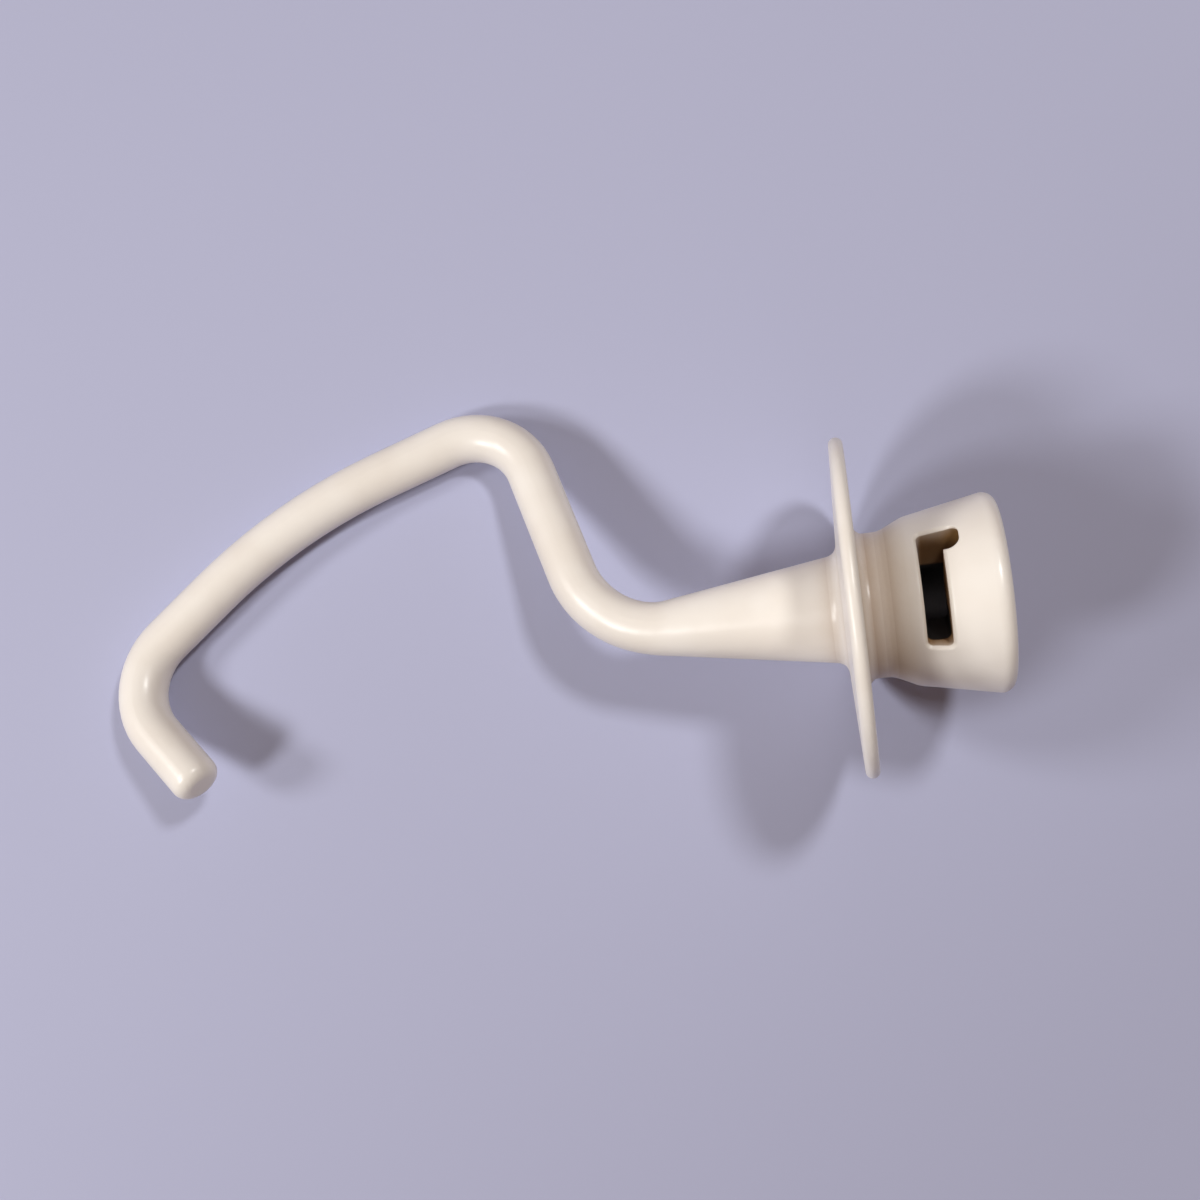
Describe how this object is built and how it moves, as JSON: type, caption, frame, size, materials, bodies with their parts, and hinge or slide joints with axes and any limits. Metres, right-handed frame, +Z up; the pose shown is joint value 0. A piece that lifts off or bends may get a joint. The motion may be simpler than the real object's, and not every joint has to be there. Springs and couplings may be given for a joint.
{
  "type": "dough hook",
  "caption": "Coated cast dough hook for a stand mixer: curved rod, tapered horn, round guard disc and a hub whose socket locks on the shaft's cross pin.",
  "frame": {"origin": "on the table, under the middle of the part's box, with the hook lying as it comes to rest on the guard's rim and the arm", "axes": "+X along the shaft in plan, towards the hub's mouth; +Y towards the crook; +Z up from the table. The shaft axis rises 10 degrees towards the mouth"},
  "size_m": [0.1662, 0.0748, 0.0591],
  "materials": {
    "coating": "smooth glossy cream-white coating over a cast aluminium body"
  },
  "bodies": {
    "root": {"dough_hook": "coating"}
  },
  "joints": []
}
